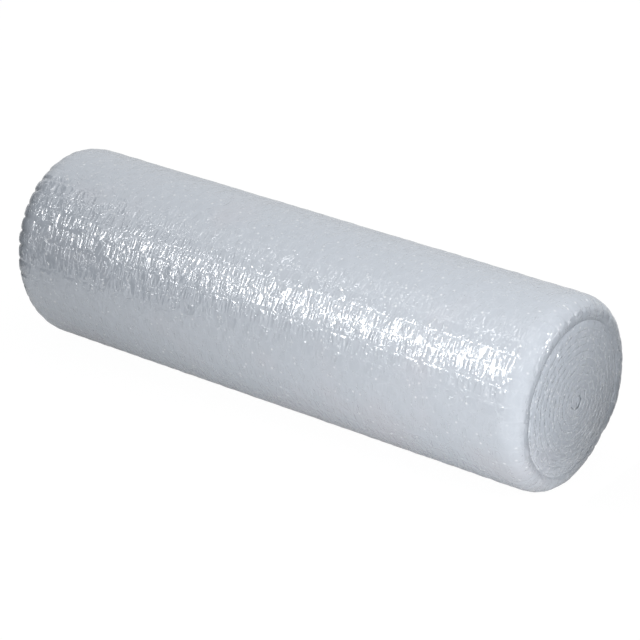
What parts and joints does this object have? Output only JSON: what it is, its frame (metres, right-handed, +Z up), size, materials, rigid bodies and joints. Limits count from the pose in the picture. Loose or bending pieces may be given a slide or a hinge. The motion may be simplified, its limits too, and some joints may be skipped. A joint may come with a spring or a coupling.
{
  "type": "bubble wrap roll",
  "caption": "Roll of clear air-bubble cushioning film wound flat side out, lying on its side, for wrapping and padding goods in shipping packs.",
  "frame": {"origin": "middle of the roll's footprint, on the floor", "axes": "+X along the roll, +Z up, -Y towards the viewer"},
  "size_m": [0.4, 0.126, 0.1226],
  "materials": {
    "bubble_film": "clear polyethylene film, cool milky white where many turns lie over one another, glossy"
  },
  "bodies": {
    "root": {"bubble_film_roll": "bubble_film"}
  },
  "joints": []
}
